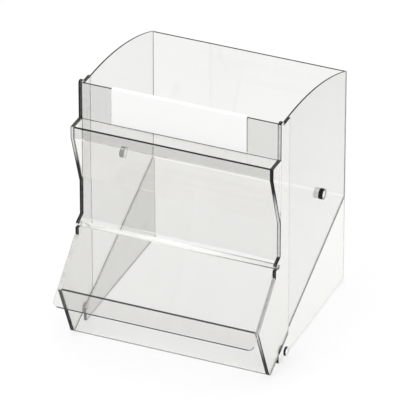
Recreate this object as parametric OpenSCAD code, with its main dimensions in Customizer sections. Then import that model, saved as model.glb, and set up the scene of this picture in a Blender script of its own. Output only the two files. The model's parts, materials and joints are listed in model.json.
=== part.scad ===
// Clear scoop bin for loose sweets: open top, sloping floor and a flap that swings up.
// Lengths in millimetres. X runs across, Y runs to the back and Z runs up.

/* [Bin] */
// Width over the two side walls
bin_w = 196; // [160:1:300]
// Depth from the lip bend to the back
bin_depth = 188; // [150:1:260]
// Thickness of a side wall
wall_t = 1.5; // [1:0.1:3]
// Height of the side walls
wall_h = 252.5; // [235:0.5:320]
// How far the top edge falls on its way to the back
top_drop = 27; // [10:1:60]
// Level part of the top edge, from the front panel's face
top_level = 30; // [15:1:60]

/* [Back, floor and lip] */
// Slope of the floor in degrees
floor_angle = 25.5; // [18:0.5:32]
// Thickness of the bent sheet that makes the back, the floor and the lip
floor_t = 2; // [1:0.1:4]
// How far the lip leans forward from upright, in degrees
lip_lean = 24; // [10:1:32]
// Length of the lip along its outer face
lip_len = 68; // [50:1:80]
// Inner radius of the sheet's two bends
bend_in = 2; // [1:0.5:6]
// Height of the lip's bend above the surface that the bin stands on
bend_lift = 1; // [0.5:0.1:5]

/* [Front panel] */
// Distance from the lip bend back to the front panel's face
front_set = 23.3; // [15:0.1:35]
// Thickness of the front panel
front_t = 2; // [1:0.1:4]
// Height of the panel's top edge above the side walls
front_rise = 3.5; // [1:0.1:8]
// Gap between the top of the hinge rod and the panel's lower edge
front_gap = 0.5; // [0.3:0.1:4]
// Width of the nose that frames each end of the panel's top edge
nose_w = 6.2; // [4:0.1:10]
// Height of the nose above the panel's top edge
nose_rise = 1.3; // [0.5:0.1:4]
// Radius of the nose's corners
nose_r = 2.5; // [0.5:0.1:3]

/* [Front cheeks] */
// Thickness of the cheek plate on each side wall
cheek_t = 2; // [1:0.1:4]
// Depth of a cheek behind the front panel's face
cheek_w = 21.7; // [12:0.1:40]

/* [Grip ridge] */
// Distance from the panel's top edge down to the ledge
ledge_drop = 36.8; // [25:0.1:50]
// Reach of the ledge in front of the panel
ridge_reach = 18.3; // [10:0.1:25]
// Height of the ridge's upright nose
ridge_nose = 12.2; // [6:0.1:20]
// Height of the whole ridge
ridge_h = 67.2; // [40:0.1:80]
// Thickness of the ridge's bent sheet
ridge_t = 2; // [1:0.1:3]

/* [Label] */
// Width of the folded label card
label_w = 133; // [60:1:150]
// Thickness of the card
label_t = 1; // [0.5:0.1:2]
// Gap between the card's leaves and the panel
label_gap = 0.3; // [0.1:0.1:1]
// Gap between the card's front leaf and the ledge
label_foot = 0.5; // [0.3:0.1:4]

/* [Hinge] */
// Distance of the hinge axis in front of the panel's face
hinge_fwd = 5.5; // [5:0.1:9]
// Height of the hinge axis
hinge_z = 109.5; // [95:0.5:125]
// Diameter of the hinge rod between the walls
rod_d = 5; // [4.5:0.1:7]
// Diameter of the journals at the rod's ends
journal_d = 4; // [3:0.1:4.4]
// How far a journal stands out of the cheek
journal_out = 1; // [0.5:0.1:3]
// Radial clearance of a journal in its seat
run_clear = 0.08; // [0.03:0.01:0.1]
// Gap between the rod's shoulders and the side walls
side_clear = 0.5; // [0.3:0.1:1.5]
// Width of the mouth that the journal snaps through
mouth_w = 3.6; // [2.4:0.1:3.8]
// Depth of the seat's jaws in front of the axis
jaw = 5; // [4:0.1:8]
// How far the upper jaw reaches in front of the axis
horn_fwd = 3.3; // [2.6:0.1:4]
// Height of the upper jaw's tip above the axis
horn_tip = 3.5; // [2.6:0.1:5]
// Height above the axis at which the upper jaw meets the panel's face
horn_root = 7.5; // [5:0.1:12]

/* [Flap] */
// Thickness of the flap
flap_t = 2; // [1.5:0.1:3]
// Gap between the closed flap and the edges of the side walls
flap_gap = 0.3; // [0.3:0.1:1.5]
// How far the flap hangs over the top of the lip
flap_over = 17; // [6:0.1:25]
// Radius of the flap's lower corners
flap_corner = 6; // [2:0.5:15]
// How far the flap runs past the hinge axis
flap_tail = 2; // [1:0.1:2.6]
// Depth of the groove that the rod is bonded into
groove = 1.2; // [0.6:0.1:1.4]
// Room between the flap's shoulders and the jaws while it swings
swing_clear = 0.3; // [0.3:0.1:2]

/* [Stands] */
// Thickness of a stand plate
stand_t = 3; // [2:0.1:6]
// Distance from the lip bend back to the stand's front edge
stand_front = 26; // [20:0.5:45]

/* [Pegs and studs] */
// Diameter of an upper peg
peg_d = 10.4; // [6:0.1:14]
// Length of an upper peg
peg_len = 4.6; // [2:0.1:12]
// Distance of the peg from the back
peg_back = 64; // [30:1:90]
// Height of the peg
peg_z = 129; // [115:1:150]
// Diameter of a stud's neck
neck_d = 5; // [3:0.1:6]
// Length of a stud's neck
neck_len = 3.1; // [1:0.1:8]
// Diameter of a stud's head
head_d = 9; // [7:0.1:12]
// Thickness of a stud's head
head_t = 2.3; // [1:0.1:5]
// Distance of the stud behind the stand's front edge
stud_set = 7.7; // [6:0.1:20]
// Height of the stud
stud_z = 10.2; // [7:0.1:12]

/* [Hidden] */

$fn = 64;
// Longer than anything here, for cuts that run right through
far = bin_w + bin_depth + wall_h;
// Overlap of shapes that are joined into one outline
join = 1;
// Steps of an arc along an outline
arc_steps = 24;

clear = [0.88, 0.91, 0.88, 0.45];
clear_edge = [0.62, 0.68, 0.64, 0.7];
paper = [0.97, 0.97, 0.96];

// Across: inner and outer faces of one side
wall_out = bin_w / 2;
wall_in = wall_out - wall_t;
cheek_out = wall_out + cheek_t;

// Back, floor and lip with the bends between them, seen from the side
function ahead(angle) = [cos(angle), sin(angle)];
function arc(mid, r, from, to) =
    [for (i = [0:arc_steps]) mid + r * ahead(from + (to - from) * i / arc_steps)];
function reversed(points) = [for (i = [len(points) - 1:-1:0]) points[i]];
function under_floor(y) = bend_lift + y * tan(floor_angle);
function back_bend(r) = arc(back_mid, r, 0, floor_angle - 90);
function lip_bend(r) = arc(lip_mid, r, floor_angle - 90, lip_dir - 270);
bend_out = bend_in + floor_t;
back_top = wall_h - top_drop;
back_mid_y = bin_depth - bend_out;
back_mid = [back_mid_y, under_floor(back_mid_y) + bend_out / cos(floor_angle)];
lip_dir = 90 + lip_lean;
lip_foot = [0, bend_lift];
lip_half = (lip_dir - floor_angle) / 2;
lip_mid = lip_foot + bend_out / sin(lip_half) * ahead(floor_angle + lip_half);
lip_top = lip_foot + lip_len * ahead(lip_dir);

// Front panel, ridge and top edge
panel_low = hinge_z + rod_d / 2 + front_gap;
panel_top = wall_h + front_rise;
nose_top = panel_top + nose_rise;
ledge_z = panel_top - ledge_drop;
arc_run = bin_depth - front_set - top_level;
arc_r = (arc_run * arc_run + top_drop * top_drop) / (2 * top_drop);

// Hinge axis, and the sill that the closed flap lies along
axis = [front_set - hinge_fwd, hinge_z];
lift = rod_d / 2 - groove + flap_t + flap_gap;
span = norm(axis - lip_top);
sill_angle = atan2(axis[1] - lip_top[1], axis[0] - lip_top[0]) - asin(lift / span);
jaw_y = axis[0] - jaw;
jaw_corner = [jaw_y, lip_top[1] + (jaw_y - lip_top[0]) * tan(sill_angle)];
flap_low = lift - flap_gap;
flap_len = sqrt(span * span - lift * lift) + flap_over;
shoulder = norm(jaw_corner - axis) + swing_clear;

// The origin lies under the middle of the whole bin
flap_front = axis[0] - flap_len * cos(sill_angle) + (flap_low - flap_t) * sin(sill_angle);
mid_y = (bin_depth + flap_front) / 2;

// Side profiles are drawn as (Y, Z) and run across from x0 to x1
module across(x0, x1) {
    translate([x0, -mid_y, 0]) rotate([90, 0, 90]) linear_extrude(x1 - x0) children();
}

module mirrored() {
    mirror([1, 0, 0]) children();
}

// Seat that holds a journal of the hinge rod, with the mouth that it snaps through
module hinge_seat() {
    translate(axis) {
        circle(d = journal_d + 2 * run_clear);
        translate([-far, -mouth_w / 2]) square([far, mouth_w]);
    }
}

// A side: bend, lip, sill, jaws of the hinge seat, front edge with its nose, top edge and back
module side_outline() {
    r = min(nose_r, nose_w / 2);
    difference() {
        polygon(concat(
            lip_bend(bend_out),
            [lip_top, jaw_corner, [jaw_y, hinge_z - mouth_w / 2]],
            [[axis[0] - horn_fwd, hinge_z + horn_tip], [front_set, hinge_z + horn_root]],
            arc([front_set + r, nose_top - r], r, 180, 90),
            arc([front_set + nose_w - r, nose_top - r], r, 90, 0),
            [[front_set + nose_w, wall_h]],
            arc([front_set + top_level, wall_h - arc_r], arc_r, 90, 90 - asin(arc_run / arc_r)),
            back_bend(bend_out)
        ));
        hinge_seat();
    }
}

// The bent sheet, from the back's top edge along its outer face to the lip and home along its inner face
module bent_outline() {
    polygon(concat(
        [[bin_depth, back_top]],
        back_bend(bend_out),
        lip_bend(bend_out),
        [lip_top, lip_top + floor_t * ahead(lip_dir - 90)],
        reversed(lip_bend(bend_in)),
        reversed(back_bend(bend_in)),
        [[bin_depth - floor_t, back_top]]
    ));
}

module ridge_outline() {
    polygon([
        [front_set, ledge_z], [front_set - ridge_reach, ledge_z],
        [front_set - ridge_reach, ledge_z - ridge_nose], [front_set, ledge_z - ridge_h]
    ]);
}

// Hollow of the ridge, one sheet inside its outline and open to the panel
module ridge_hollow() {
    slope = (ridge_h - ridge_nose) / ridge_reach;
    raised = ridge_t * sqrt(1 + slope * slope);
    nose_y = front_set - ridge_reach + ridge_t;
    low_z = ledge_z - ridge_nose + raised - ridge_t * slope;
    open_y = front_set + join;
    polygon([
        [open_y, ledge_z - ridge_t], [nose_y, ledge_z - ridge_t],
        [nose_y, low_z], [open_y, low_z - (open_y - nose_y) * slope]
    ]);
}

module right_wall() {
    color(clear) across(wall_in, wall_out) side_outline();
}

module left_wall() {
    mirrored() right_wall();
}

module right_cheek() {
    color(clear) across(wall_out, cheek_out) intersection() {
        side_outline();
        translate([front_set + cheek_w - far, -far]) square([far, 2 * far]);
    }
}

module left_cheek() {
    mirrored() right_cheek();
}

module back_and_floor() {
    color(clear) across(-wall_in, wall_in) bent_outline();
}

module front_panel() {
    color(clear) across(-wall_in, wall_in)
        translate([front_set, panel_low]) square([front_t, panel_top - panel_low]);
}

module grip_ridge() {
    color(clear) across(-wall_in, wall_in) difference() {
        ridge_outline();
        ridge_hollow();
    }
}

module right_ridge_end() {
    color(clear_edge) across(wall_in, cheek_out) ridge_outline();
}

module left_ridge_end() {
    mirrored() right_ridge_end();
}

// A card folded over the panel's top edge
module label_card() {
    leaf = panel_top + label_t - ledge_z - label_foot;
    depth = front_t + 2 * label_gap;
    color(paper) across(-label_w / 2, label_w / 2)
        translate([front_set - label_gap - label_t, ledge_z + label_foot]) difference() {
            square([depth + 2 * label_t, leaf]);
            translate([label_t, -join]) square([depth, leaf - label_t + join]);
        }
}

// Outline of the flap in its own plane: tongue between the walls, then the wide apron
module flap_outline() {
    r = flap_corner;
    tongue = wall_in - side_clear;
    translate([-tongue, -shoulder - join]) square([2 * tongue, shoulder + flap_tail + join]);
    translate([-cheek_out, r - flap_len]) square([2 * cheek_out, flap_len - r - shoulder]);
    translate([r - cheek_out, -flap_len]) square([2 * (cheek_out - r), r + join]);
    for (x = [r - cheek_out, cheek_out - r]) translate([x, r - flap_len]) circle(r);
}

module at_hinge() {
    translate([0, axis[0] - mid_y, axis[1]]) children();
}

module flap() {
    color(clear) at_hinge() difference() {
        rotate([sill_angle, 0, 0]) translate([0, 0, -flap_low]) linear_extrude(flap_t) flap_outline();
        rotate([0, 90, 0]) cylinder(d = rod_d, h = far, center = true);
    }
}

module hinge_rod() {
    color(clear_edge) at_hinge() rotate([0, 90, 0]) {
        cylinder(d = rod_d, h = 2 * (wall_in - side_clear), center = true);
        cylinder(d = journal_d, h = 2 * (cheek_out + journal_out), center = true);
    }
}

module right_stand() {
    color(clear) across(wall_out - stand_t, wall_out) polygon([
        [stand_front, 0], [bin_depth, 0],
        [bin_depth, under_floor(bin_depth)], [stand_front, under_floor(stand_front)]
    ]);
}

module left_stand() {
    mirrored() right_stand();
}

// Round pin that starts on the plane x0 and points outwards
module pin(x0, y, z, d, length) {
    translate([x0, y - mid_y, z]) rotate([0, 90, 0]) cylinder(d = d, h = length);
}

module right_peg() {
    color(clear_edge) pin(wall_out, bin_depth - peg_back, peg_z, peg_d, peg_len);
}

module left_peg() {
    mirrored() right_peg();
}

module right_stud() {
    y = stand_front + stud_set;
    color(clear_edge) {
        pin(wall_out, y, stud_z, neck_d, neck_len + head_t);
        pin(wall_out + neck_len, y, stud_z, head_d, head_t);
    }
}

module left_stud() {
    mirrored() right_stud();
}

left_wall();
right_wall();
left_cheek();
right_cheek();
back_and_floor();
front_panel();
grip_ridge();
left_ridge_end();
right_ridge_end();
label_card();
flap();
hinge_rod();
left_stand();
right_stand();
left_peg();
right_peg();
left_stud();
right_stud();
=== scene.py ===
import json
import math

import bmesh
import bpy
import numpy as np
from mathutils import Matrix, Vector


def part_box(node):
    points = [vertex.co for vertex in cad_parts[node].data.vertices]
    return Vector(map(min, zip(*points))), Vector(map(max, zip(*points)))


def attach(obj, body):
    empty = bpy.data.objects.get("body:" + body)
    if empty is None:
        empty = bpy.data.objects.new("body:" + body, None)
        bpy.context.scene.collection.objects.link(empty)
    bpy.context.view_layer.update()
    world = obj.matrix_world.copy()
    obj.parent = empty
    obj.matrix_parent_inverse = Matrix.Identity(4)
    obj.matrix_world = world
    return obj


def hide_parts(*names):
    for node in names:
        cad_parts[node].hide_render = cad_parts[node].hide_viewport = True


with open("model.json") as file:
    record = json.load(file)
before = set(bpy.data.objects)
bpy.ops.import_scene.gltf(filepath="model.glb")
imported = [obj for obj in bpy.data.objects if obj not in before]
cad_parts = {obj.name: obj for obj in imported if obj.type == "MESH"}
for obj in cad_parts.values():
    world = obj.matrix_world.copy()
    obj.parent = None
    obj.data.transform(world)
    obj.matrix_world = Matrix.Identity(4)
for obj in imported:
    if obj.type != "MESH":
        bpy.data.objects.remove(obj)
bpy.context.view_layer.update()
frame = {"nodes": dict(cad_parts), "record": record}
scene = bpy.context.scene
scene.view_settings.view_transform = "Standard"
record = frame["record"]
bodyOf = {node: body for body, nodes in record["behaviour"]["bodies"].items() for node in nodes}
print("frame loaded:", len(frame["nodes"]), "nodes")

cameraView = {
    "azimuth": 23.0,  # degrees to the right of the front
    "elevation": 30.87,
    "distance": 5.2046,
    "right": -0.000655,  # where the lens axis passes the origin
    "up": 0.108953,
    "lens": 501.4,
    "sensor": 36,
}


def makeCamera(view):
    a = math.radians(view["azimuth"])
    e = math.radians(view["elevation"])
    right = Vector((math.cos(a), math.sin(a), 0))
    toEye = Vector((math.sin(a) * math.cos(e), -math.cos(a) * math.cos(e), math.sin(e)))
    above = toEye.cross(right)
    data = bpy.data.cameras.new("photoCamera")
    data.sensor_width = view["sensor"]
    data.lens = view["lens"]
    data.clip_end = 100
    camera = bpy.data.objects.new("photoCamera", data)
    camera.matrix_world = Matrix((right, above, toEye)).transposed().to_4x4()
    camera.location = right * view["right"] + above * view["up"] + toEye * view["distance"]
    scene.collection.objects.link(camera)
    scene.camera = camera


makeCamera(cameraView)

studio = {
    "ambient": 1.0,  # light of the white room
    "floorSize": 60.0,
    "floorDrop": 0.0003,
    "floorAlbedo": 0.45,
    "floorGlow": 0.53,  # lifts the paper to white where it is looked at
    "lamps": {  # place, size, power
        "keyPanel": ((-0.9, -1.9, 1.2), 1.6, 12.0),
        "fillPanel": ((1.6, -1.8, 1.0), 1.6, 7.0),
    },
}
seenDirectly = ["Is Camera Ray", "Is Glossy Ray", "Is Transmission Ray"]


def grey(level):
    return (level, level, level, 1)


def newMaterial(name):
    mat = bpy.data.materials.new(name)
    mat.use_nodes = True
    return mat, mat.node_tree, mat.node_tree.nodes["Principled BSDF"]


# One where a ray is of any of the named kinds
def anyRay(tree, kinds):
    path = tree.nodes.new("ShaderNodeLightPath")
    either = path.outputs[kinds[0]]
    for kind in kinds[1:]:
        larger = tree.nodes.new("ShaderNodeMath")
        larger.operation = "MAXIMUM"
        tree.links.new(either, larger.inputs[0])
        tree.links.new(path.outputs[kind], larger.inputs[1])
        either = larger.outputs[0]
    return either


def makeWorld(look):
    world = bpy.data.worlds.new("studioRoom")
    world.use_nodes = True
    background = world.node_tree.nodes["Background"]
    background.inputs["Color"].default_value = grey(1)
    background.inputs["Strength"].default_value = look["ambient"]
    scene.world = world


def makeFloor(look):
    half = look["floorSize"] / 2
    mesh = bpy.data.meshes.new("floor")
    corners = [(-half, -half), (half, -half), (half, half), (-half, half)]
    mesh.from_pydata([(x, y, -look["floorDrop"]) for x, y in corners], [], [(0, 1, 2, 3)])
    floor = bpy.data.objects.new("floor", mesh)
    scene.collection.objects.link(floor)
    mat, tree, surface = newMaterial("floorPaper")
    surface.inputs["Base Color"].default_value = grey(look["floorAlbedo"])
    surface.inputs["Roughness"].default_value = 1.0
    surface.inputs["Specular IOR Level"].default_value = 0.0
    surface.inputs["Emission Color"].default_value = grey(1)
    glow = tree.nodes.new("ShaderNodeMath")
    glow.operation = "MULTIPLY"
    glow.inputs[1].default_value = look["floorGlow"]
    tree.links.new(anyRay(tree, seenDirectly), glow.inputs[0])
    tree.links.new(glow.outputs[0], surface.inputs["Emission Strength"])
    mesh.materials.append(mat)


def makeLamps(look):
    for name, (place, size, power) in look["lamps"].items():
        data = bpy.data.lights.new(name, "AREA")
        data.size = size
        data.energy = power
        lamp = bpy.data.objects.new(name, data)
        lamp.location = place
        lamp.rotation_euler = (-Vector(place)).to_track_quat("-Z", "Y").to_euler()
        scene.collection.objects.link(lamp)


makeWorld(studio)
makeFloor(studio)
makeLamps(studio)
print("studio made")

clearLook = {
    "ior": 1.49,
    "warmth": (1.0, 0.998, 0.984),  # faint straw cast of clear sheet
    "shade": 0.96,  # what the sheet leaves of a lamp's light behind it
    "haze": 0.015,  # handling marks: loss of light, and roughness
    "hazeGrain": {"scale": (14, 14, 14), "detail": 3, "span": (0.45, 0.75)},
    "smudge": 0.012,
    "smudgeGrain": {"scale": (30, 30, 22), "detail": 4, "span": (0.58, 0.8)},
    "height": (0.0, 0.257),
    # These tones are painted shade: the left and right walls ramp opposite ways, the left stand is a darker
    # copy of the right one, the ridge's nose is darker than its other faces, and the front panel and flap
    # step to another tone at a given height
    "pass": {  # share of light let through below and above a height range
        "clearLeftWall": (0.82, 0.872),
        "clearRightWall": (0.92, 0.82),
        "clearCheek": (0.995, 0.995),
        "clearBent": (0.925, 0.9),
        "clearFront": (0.872, 0.80, 0.2188, 0.2194),
        "clearRidge": (0.998, 0.998),
        "clearLedge": (0.999, 0.999),
        "clearNose": (0.789, 0.789),
        "clearRidgeEnd": (0.97, 0.97),
        "clearFlap": (0.892, 0.925, 0.061, 0.064),
        "clearLeftStand": (0.73, 0.73),
        "clearRightStand": (0.94, 0.94),
        "clearRod": (0.985, 0.985),
        "clearTip": (0.998, 0.998),
    },
    "cemented": {"clearTip": 1.01},  # bonded wedge that bends no light
    "gleam": {"clearFront": 0.2, "clearNose": 0.2, "clearRidge": 0.2},  # share of mirror reflection kept
}
edgeLook = {
    # Edge tones are painted: the dark ones are painted shade and the pale ones painted light, in place of
    # the light that passes and reflects inside a clear sheet's edges
    "colour": {"paintedShadeEdge": 0.012, "greyEdge": 0.05, "lightEdge": 0.8, "whiteEdge": 0.97},
    "warmth": 0.95,
    # Painted shade and painted light: the dark border lines and the dark-to-pale height ramps stand in for
    # light through the edge, and the two slants ramp opposite ways
    # a core between dark border lines: its tone below and above a height range, that range,
    # and how wide the line is at the inner and at the outer side
    "lined": {
        "linedEdge": ((0.72, 0.72), (0.0, 1.0), (0.0006, 0.0008)),
        "lipEdge": ((0.02, 0.6), (0.025, 0.05), (0.0006, 0.0008)),
        "sillEdge": ((0.46, 0.46), (0.0, 1.0), (0.0, 0.0006)),
        "leftSlant": ((0.012, 0.72), (0.175, 0.195), (0.0006, 0.0008)),
        "rightSlant": ((0.72, 0.012), (0.172, 0.192), (0.0006, 0.0008)),
    },
    "lineFade": 0.02,
    "roughness": (0.28, 0.45),
    "streaks": (0.8, 1.2),
    "grain": {"scale": (40, 900, 900), "detail": 2, "span": (0.3, 0.7)},
    "shine": 0.15,
}
finishes = {}


def newGroup(name, inputs, outputs):
    tree = bpy.data.node_groups.new(name, "ShaderNodeTree")
    for label, kind in inputs:
        tree.interface.new_socket(label, in_out="INPUT", socket_type="NodeSocket" + kind)
    for label, kind in outputs:
        tree.interface.new_socket(label, in_out="OUTPUT", socket_type="NodeSocket" + kind)
    return tree, tree.nodes.new("NodeGroupInput"), tree.nodes.new("NodeGroupOutput")


def noiseAt(tree, grain):
    place = tree.nodes.new("ShaderNodeTexCoord")
    mapping = tree.nodes.new("ShaderNodeMapping")
    mapping.inputs["Scale"].default_value = grain["scale"]
    noise = tree.nodes.new("ShaderNodeTexNoise")
    noise.inputs["Scale"].default_value = 1.0
    noise.inputs["Detail"].default_value = grain["detail"]
    tree.links.new(place.outputs["Object"], mapping.inputs["Vector"])
    tree.links.new(mapping.outputs["Vector"], noise.inputs["Vector"])
    return noise.outputs["Fac"]


def ranged(tree, value, start, end, low, high):
    node = tree.nodes.new("ShaderNodeMapRange")
    levels = {"From Min": start, "From Max": end, "To Min": low, "To Max": high}
    for label, level in levels.items():
        node.inputs[label].default_value = level
    tree.links.new(value, node.inputs["Value"])
    return node.outputs["Result"]


def scaled(tree, colour, factor):
    node = tree.nodes.new("ShaderNodeVectorMath")
    node.operation = "SCALE"
    tree.links.new(colour, node.inputs[0])
    tree.links.new(factor, node.inputs["Scale"])
    return node.outputs[0]


def placeAxes(tree):
    place = tree.nodes.new("ShaderNodeTexCoord")
    split = tree.nodes.new("ShaderNodeSeparateXYZ")
    tree.links.new(place.outputs["Object"], split.inputs[0])
    return split.outputs


# Tint of a clear sheet from its lower to its upper end, the ramp between them being painted shade, with
# faint handling marks
def makeSheetGroup(look):
    tree, given, made = newGroup(
        "handlingAndPaintedShade",
        [("Low", "Color"), ("High", "Color"), ("From", "Float"), ("To", "Float")],
        [("Color", "Color"), ("Roughness", "Float")],
    )
    height = ranged(tree, placeAxes(tree)["Z"], 0, 1, 0, 1)
    tree.links.new(given.outputs["From"], height.node.inputs["From Min"])
    tree.links.new(given.outputs["To"], height.node.inputs["From Max"])
    mix = tree.nodes.new("ShaderNodeMix")
    mix.data_type = "RGBA"
    tree.links.new(height, mix.inputs["Factor"])
    tree.links.new(given.outputs["Low"], mix.inputs[6])
    tree.links.new(given.outputs["High"], mix.inputs[7])
    hazeGrain, smudgeGrain = look["hazeGrain"], look["smudgeGrain"]
    haze = ranged(tree, noiseAt(tree, hazeGrain), *hazeGrain["span"], 1.0, 1 - look["haze"])
    tree.links.new(scaled(tree, mix.outputs[2], haze), made.inputs["Color"])
    smudge = ranged(tree, noiseAt(tree, smudgeGrain), *smudgeGrain["span"], 0.0, look["smudge"])
    tree.links.new(smudge, made.inputs["Roughness"])
    return tree


# Saw and polish streaks across a cut edge
def makeEdgeGroup(look):
    tree, given, made = newGroup(
        "sawnEdge", [("Colour", "Color")], [("Color", "Color"), ("Roughness", "Float")])
    streak = noiseAt(tree, look["grain"])
    shade = ranged(tree, streak, *look["grain"]["span"], *look["streaks"])
    tree.links.new(scaled(tree, given.outputs["Colour"], shade), made.inputs["Color"])
    rough = ranged(tree, streak, *look["grain"]["span"], *look["roughness"])
    tree.links.new(rough, made.inputs["Roughness"])
    return tree


sheetGroup = makeSheetGroup(clearLook)
edgeGroup = makeEdgeGroup(edgeLook)


def groupNode(tree, group):
    node = tree.nodes.new("ShaderNodeGroup")
    node.node_tree = group
    surface = tree.nodes["Principled BSDF"]
    tree.links.new(node.outputs["Color"], surface.inputs["Base Color"])
    tree.links.new(node.outputs["Roughness"], surface.inputs["Roughness"])
    return node


def clearMaterial(name, look):
    mat, tree, surface = newMaterial(name)
    low, high, *height = look["pass"][name]
    tint = groupNode(tree, sheetGroup)
    tint.inputs["Low"].default_value = tuple(low * w for w in look["warmth"]) + (1,)
    tint.inputs["High"].default_value = tuple(high * w for w in look["warmth"]) + (1,)
    tint.inputs["From"].default_value, tint.inputs["To"].default_value = height or look["height"]
    surface.inputs["IOR"].default_value = look["cemented"].get(name, look["ior"])
    surface.inputs["Transmission Weight"].default_value = 1.0
    surface.inputs["Specular Tint"].default_value = grey(look["gleam"].get(name, 1.0))
    # lamps and soft light reach what is behind the sheet
    through = tree.nodes.new("ShaderNodeBsdfTransparent")
    through.inputs["Color"].default_value = grey(look["shade"])
    mix = tree.nodes.new("ShaderNodeMixShader")
    tree.links.new(anyRay(tree, ["Is Shadow Ray", "Is Diffuse Ray"]), mix.inputs[0])
    tree.links.new(surface.outputs[0], mix.inputs[1])
    tree.links.new(through.outputs[0], mix.inputs[2])
    tree.links.new(mix.outputs[0], tree.nodes["Material Output"].inputs["Surface"])
    finishes[name] = mat


def edgeMaterial(name, colour, look):
    mat, tree, surface = newMaterial(name)
    streaks = groupNode(tree, edgeGroup)
    streaks.inputs["Colour"].default_value = (colour, colour, colour * look["warmth"], 1)
    surface.inputs["Specular IOR Level"].default_value = look["shine"]
    finishes[name] = mat
    return tree, streaks


def linedMaterial(name, inner, outer, look):
    cores, heights, border = look["lined"][name]
    tree, streaks = edgeMaterial(name, max(cores), look)
    dark, light = grey(look["colour"]["paintedShadeEdge"]), grey(1)
    low, high = (width / (outer - inner) for width in border)
    fade = look["lineFade"]
    stops = [(1 - fade - high, light), (1 - high, dark)]
    if low:
        stops = [(low, dark), (low + fade, light)] + stops
    lines = tree.nodes.new("ShaderNodeValToRGB")
    marks = lines.color_ramp.elements
    marks.remove(marks[1])
    marks[0].color = stops[0][1]
    for at, colour in stops:
        marks.new(at).color = colour
    axes = placeAxes(tree)
    fromMiddle = tree.nodes.new("ShaderNodeMath")
    fromMiddle.operation = "ABSOLUTE"
    tree.links.new(axes["X"], fromMiddle.inputs[0])
    tree.links.new(ranged(tree, fromMiddle.outputs[0], inner, outer, 0, 1), lines.inputs["Fac"])
    core = ranged(tree, axes["Z"], *heights, *cores)
    tree.links.new(scaled(tree, lines.outputs["Color"], core), streaks.inputs["Colour"])


for name in clearLook["pass"]:
    clearMaterial(name, clearLook)
for name, colour in edgeLook["colour"].items():
    edgeMaterial(name, colour, edgeLook)
for name in edgeLook["lined"]:
    linedMaterial(name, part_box("right_wall")[0][0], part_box("right_cheek")[1][0], edgeLook)
print("finishes made:", len(finishes))

sheetShape = {
    "bevel": 0.00022,
    "seam": 0.00003,  # air left where two sheets are bonded
    "weld": 2e-6,
    "flat": 0.002,  # faces that meet at less than this angle are one
    "stripWidth": 0.004,  # faces narrower than this are sheet edges
    "bend": math.radians(25),  # neighbours closer than this run on as one face
    "rim": math.radians(30),  # edges sharper than this are rounded
    "pinRim": math.radians(40),  # edges of a pin sharper than this stay crisp
    "facing": 0.97,  # how closely a face has to look along a rule's direction
    "samePlane": 0.9999,
    "broadFace": 1e-5,  # triangles larger than this lie in a broad face
    "smallFace": 1.2e-4,  # faces of a rounded groove are smaller than this
    "seat": 0.0032,  # faces this close to the hinge line are the seat of the journal
}
hinge = record["behaviour"]["joints"][0]["pos_m"]
front = Vector((0, -1, 0))
back = Vector((0, 1, 0))
up = Vector((0, 0, 1))
down = Vector((0, 0, -1))
sideways = [Vector((1, 0, 0)), Vector((-1, 0, 0))]
sill = Vector((0, -0.674, 0.738))
slant = Vector((0, -0.95, -0.32))
lipSide = Vector((0, -0.914, -0.407))
bends = [Vector((0, -0.95, 0.31)), Vector((0, -0.846, 0.533)), Vector((0, -0.7, 0.714))]
floorSide = Vector((0, -0.43, 0.9))
flapTop = Vector((0, 0.738, 0.674))
# Heights that a rule starts from
anywhere = 0
bendLevel = 0.08  # between the bend at the lip and the one at the back
hingeLevel = 0.115  # just above the hinge line
sillTop = 0.12  # the sill lies below this
noseLevel = 0.19  # the ridge's nose and ledge lie above this


# The node's solid, drawn in by the seam, with flat faces
def nodeMesh(node, shape):
    bm = bmesh.new()
    bm.from_mesh(frame["nodes"][node].data)
    bmesh.ops.remove_doubles(bm, verts=bm.verts, dist=shape["weld"])
    bmesh.ops.dissolve_limit(bm, angle_limit=shape["flat"], verts=bm.verts, edges=bm.edges)
    bm.normal_update()
    for vert in bm.verts:
        normals = np.array([f.normal[:] for f in vert.link_faces])
        inward = np.full(len(normals), -shape["seam"])
        vert.co += Vector(np.linalg.lstsq(normals, inward, rcond=None)[0])
    for face in bm.faces:
        face.smooth = False
    bm.normal_update()
    return bm


# Faces that run on into one another, in a fixed order
def smoothGroups(bm, bend):
    left = set(bm.faces)
    for first in bm.faces:
        if first not in left:
            continue
        left.discard(first)
        group = [first]
        for face in group:
            for edge in face.edges:
                for other in edge.link_faces:
                    if other in left and edge.calc_face_angle(math.pi) < bend:
                        left.discard(other)
                        group.append(other)
        yield group


def isStrip(group, width):
    members = set(group)
    area = sum(f.calc_area() for f in group)
    rim = sum(e.calc_length() for f in group for e in f.edges if not set(e.link_faces) <= members)
    return 2 * area < width * rim


# The first rule that fits a face decides: finish, direction, and the height that it starts from
def finishFor(face, rules, usual, closeness):
    for finish, facing, above in rules:
        if face.normal.dot(facing) > closeness and face.calc_center_median().z > above:
            return finish
    return usual


def inSeat(face, radius):
    middle = face.calc_center_median()
    return math.hypot(middle.y - hinge[1], middle.z - hinge[2]) < radius


def slotFor(names, finish):
    if finish not in names:
        names.append(finish)
    return names.index(finish)


def flatPlanes(bm, broadFace):
    planes = {}
    for face in bm.faces:
        if len(face.verts) > 3 or face.calc_area() > broadFace:
            key = tuple(round(v, 4) for v in face.normal)
            planes[key] = (face.normal.copy(), face.verts[0].co.copy())
    return list(planes.values())


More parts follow.
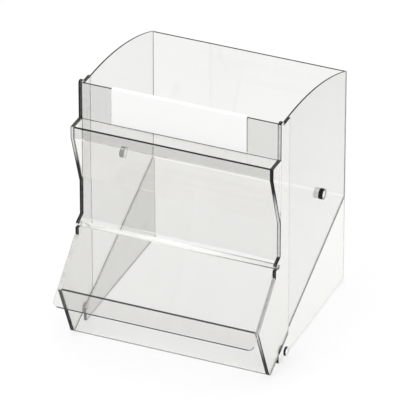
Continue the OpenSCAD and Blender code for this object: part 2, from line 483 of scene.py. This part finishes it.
# Rounds the rims, then puts the broad faces back into their planes,
# so that what shows through isn't bent
def roundRims(bm, shape):
    planes = flatPlanes(bm, shape["broadFace"])
    rims = [e for e in bm.edges if e.calc_face_angle(0) > shape["rim"]]
    bmesh.ops.bevel(bm, geom=rims, offset=shape["bevel"], segments=2, profile=0.5,
                    affect="EDGES", material=-1)
    bm.normal_update()
    for normal, point in planes:
        for face in bm.faces:
            if face.normal.dot(normal) > shape["samePlane"]:
                for vert in face.verts:
                    off = (vert.co - point).dot(normal)
                    if abs(off) < 2 * shape["seam"]:
                        vert.co -= off * normal
    bm.normal_update()


def addPiece(node, suffix, bm, names, shape):
    roundRims(bm, shape)
    mesh = bpy.data.meshes.new(node + suffix)
    bm.to_mesh(mesh)
    bm.free()
    # normals kept from the CAD mesh would bend the view through the broad faces
    mesh.attributes.remove(mesh.attributes["custom_normal"])
    for name in names:
        mesh.materials.append(finishes[name])
    piece = bpy.data.objects.new(node + suffix, mesh)
    scene.collection.objects.link(piece)
    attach(piece, bodyOf[node])
    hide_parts(node)
    return mesh


# Turns the chosen edges into narrow strips in the second slot, the dark edge finish: painted shade lines
def addLine(bm, width, isLine):
    lines = [e for e in bm.edges if isLine(e)]
    bmesh.ops.bevel(bm, geom=lines, offset=width, segments=3, profile=0.5, affect="EDGES", material=1)


# Gives the outermost part of a piece its own finish
def addBand(bm, width, outward, slot):
    outward = outward.normalized()
    rim = max((v.co for v in bm.verts), key=outward.dot) - width * outward
    everything = bm.verts[:] + bm.edges[:] + bm.faces[:]
    bmesh.ops.bisect_plane(bm, geom=everything, plane_co=rim, plane_no=outward)
    for face in bm.faces:
        if (face.calc_center_median() - rim).dot(outward) > 0:
            face.material_index = slot


def dressSheet(node, look, shape=sheetShape):
    bm = nodeMesh(node, shape)
    names = [look["finish"], "paintedShadeEdge"]
    for group in smoothGroups(bm, shape["bend"]):
        usual, rules = look["finish"], look.get("zones", [])
        if isStrip(group, shape["stripWidth"]):
            usual, rules = "paintedShadeEdge", look.get("edges", [])
        rounded = len(group) > 4 and max(f.calc_area() for f in group) < shape["smallFace"]
        for face in group:
            finish = finishFor(face, rules, usual, shape["facing"])
            # faces of the journal's seat get the pale edge tone: painted light
            if finish == "paintedShadeEdge" and inSeat(face, shape["seat"]):
                finish = "lightEdge"
            face.material_index = slotFor(names, finish)
            face.smooth = rounded
    for width, isLine in look.get("lines", []):
        addLine(bm, width, isLine)
    if "band" in look:
        width, outward, finish = look["band"]
        addBand(bm, width, outward, slotFor(names, finish))
    addPiece(node, "_clear", bm, names, shape)


def isEnd(face):
    return abs(face.normal.x) > 0.5


# A round pin across the part, with its side painted dark for a length from the tip: painted shade
def dressPin(node, look, shape=sheetShape):
    bm = nodeMesh(node, shape)
    tip = max(abs(v.co.x) for v in bm.verts)
    for face in bm.faces:
        face.smooth = True
        nearTip = abs(face.calc_center_median().x) > tip - look["dark"]
        face.material_index = int(nearTip and not isEnd(face))
    if "ring" in look:
        addBand(bm, *look["ring"], 1)
        for face in filter(isEnd, bm.faces):
            face.material_index = 0
    mesh = addPiece(node, "_clear", bm, [look["finish"], "paintedShadeEdge"], shape)
    mesh.set_sharp_from_angle(angle=shape["pinRim"])


leftWall = {
    "finish": "clearLeftWall",
    "edges": [("paintedShadeEdge", sill, sillTop), ("lightEdge", sill, anywhere)],
}
dressSheet("left_wall", leftWall)

leftCheek = {"finish": "clearCheek", "edges": leftWall["edges"]}
dressSheet("left_cheek", leftCheek)

# The right wall's front, lip-side and sill edges get lined, ramped and grey finishes where the left wall's
# stay dark and pale: painted light and shade by side
rightWall = {
    "finish": "clearRightWall",
    "edges": [
        ("paintedShadeEdge", sill, sillTop),
        ("sillEdge", sill, anywhere),
        ("lipEdge", lipSide, anywhere),
        ("linedEdge", front, hingeLevel),
    ],
}
dressSheet("right_wall", rightWall)

rightCheek = {"finish": "clearCheek", "edges": rightWall["edges"] + [("lightEdge", back, anywhere)]}
dressSheet("right_cheek", rightCheek)

bentSheet = {
    "finish": "clearBent",
    # The bends get the clearer rod tint: a painted highlight line along each bend
    "zones": [("clearRod", side * b, bendLevel) for b in bends for side in (1, -1)],  # the bend's light line
}
dressSheet("back_and_floor", bentSheet)

frontPanel = {
    "finish": "clearFront",
    "edges": [("clearFront", s, anywhere) for s in sideways] + [("lightEdge", down, anywhere)],
}
dressSheet("front_panel", frontPanel)

ridgeLow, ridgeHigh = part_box("grip_ridge")


# The long upper front edge of the ridge
def ridgeCorner(edge, near=0.0005, shortest=0.1):
    mid = (edge.verts[0].co + edge.verts[1].co) / 2
    isFront = mid.y < ridgeLow[1] + near
    isTop = mid.z > ridgeHigh[2] - near
    return isFront and isTop and edge.calc_length() > shortest


ridge = {
    "finish": "clearRidge",
    # The nose faces take a darker tint than the ridge's other faces: painted shade by facing
    "zones": [
        ("clearNose", front, anywhere),
        ("clearNose", back, noseLevel),
        ("clearLedge", up, anywhere),
        ("clearLedge", down, noseLevel),
    ],
    "edges": [("clearRidge", s, anywhere) for s in sideways],
    # a dark line along the upper front edge: painted shade
    "lines": [(0.0011, ridgeCorner)],
    "band": (0.0064, down, "clearTip"),  # the thin wedge where the ridge runs out on the panel
}
dressSheet("grip_ridge", ridge)

leftRidgeEnd = {
    "finish": "clearRidgeEnd",
    "edges": [
        ("clearRidgeEnd", back, anywhere),
        ("greyEdge", up, anywhere),
        ("linedEdge", front, noseLevel),
        ("leftSlant", slant, anywhere),
    ],
}
dressSheet("left_ridge_end", leftRidgeEnd)

# The right end's front edge stays dark where the left end's is lined, and the slants ramp opposite ways:
# painted light and shade by side
rightRidgeEnd = {
    "finish": "clearRidgeEnd",
    "edges": leftRidgeEnd["edges"][:2] + [("paintedShadeEdge", front, noseLevel), ("rightSlant", slant, anywhere)],
}
dressSheet("right_ridge_end", rightRidgeEnd)

flap = {
    "finish": "clearFlap",
    "edges": [("lightEdge", s, anywhere) for s in sideways + [flapTop]],
    # painted shade: a dark strip along the lower edge
    "band": (0.0004, -flapTop, "paintedShadeEdge"),  # dark strip along the lower edge
}
dressSheet("flap", flap)

leftStand = {
    "finish": "clearLeftStand",
    # The stands' top edges get the whitest edge tone: painted light lifting them out of the shade against
    # the floor sheet
    "edges": [("whiteEdge", floorSide, anywhere), ("lightEdge", back, anywhere)],
}
dressSheet("left_stand", leftStand)

rightStand = {
    "finish": "clearRightStand",
    "edges": leftStand["edges"] + [("lightEdge", down, anywhere)],
}
dressSheet("right_stand", rightStand)

wholeLength = 1.0  # longer than any pin

rod = {"finish": "clearRod", "dark": 0}
dressPin("hinge_rod", rod)

# a dark ring at the left peg's tip: painted shade
leftPeg = {"finish": "clearRod", "dark": 0, "ring": (0.0014, sideways[1])}
dressPin("left_peg", leftPeg)

# the right peg's whole side dark: painted shade
rightPeg = {"finish": "clearRod", "dark": wholeLength}
dressPin("right_peg", rightPeg)

# the studs' sides dark near the tip: painted shade
studs = {"finish": "clearRod", "dark": 0.0024}
for node in ("left_stud", "right_stud"):
    dressPin(node, studs)
print("clear pieces dressed")

card = {
    "colour": (0.97, 0.97, 0.965),
    "fibre": (0.97, 1.0),
    "roughness": (0.75, 0.9),
    "grain": {"scale": (900, 900, 2600), "detail": 4, "span": (0.3, 0.7)},
    "relief": 0.00004,
    "fold": 0.0006,
    "foldLength": 0.05,  # edges of the top longer than this are folds
    "level": 1e-5,
}


def cardMaterial(look):
    mat, tree, surface = newMaterial("whiteCard")
    group, given, made = newGroup(
        "paperFibre",
        [("Colour", "Color")],
        [("Color", "Color"), ("Roughness", "Float"), ("Height", "Float")],
    )
    fibre = noiseAt(group, look["grain"])
    tone = ranged(group, fibre, *look["grain"]["span"], *look["fibre"])
    rough = ranged(group, fibre, *look["grain"]["span"], *look["roughness"])
    group.links.new(scaled(group, given.outputs["Colour"], tone), made.inputs["Color"])
    group.links.new(rough, made.inputs["Roughness"])
    group.links.new(fibre, made.inputs["Height"])
    paper = groupNode(tree, group)
    paper.inputs["Colour"].default_value = look["colour"] + (1,)
    bump = tree.nodes.new("ShaderNodeBump")
    bump.inputs["Distance"].default_value = look["relief"]
    tree.links.new(paper.outputs["Height"], bump.inputs["Height"])
    tree.links.new(bump.outputs["Normal"], surface.inputs["Normal"])
    finishes["whiteCard"] = mat


def dressCard(look, shape=sheetShape):
    cardMaterial(look)
    bm = nodeMesh("label_card", shape)
    top = max(v.co.z for v in bm.verts) - look["level"]
    onTop = [e for e in bm.edges if min(v.co.z for v in e.verts) > top]
    folds = [e for e in onTop if e.calc_length() > look["foldLength"]]
    bmesh.ops.bevel(bm, geom=folds, offset=look["fold"], segments=4, profile=0.5, affect="EDGES")
    for face in bm.faces:
        face.material_index = 0
    addPiece("label_card", "_paper", bm, ["whiteCard"], shape)


dressCard(card)
print("label card dressed")
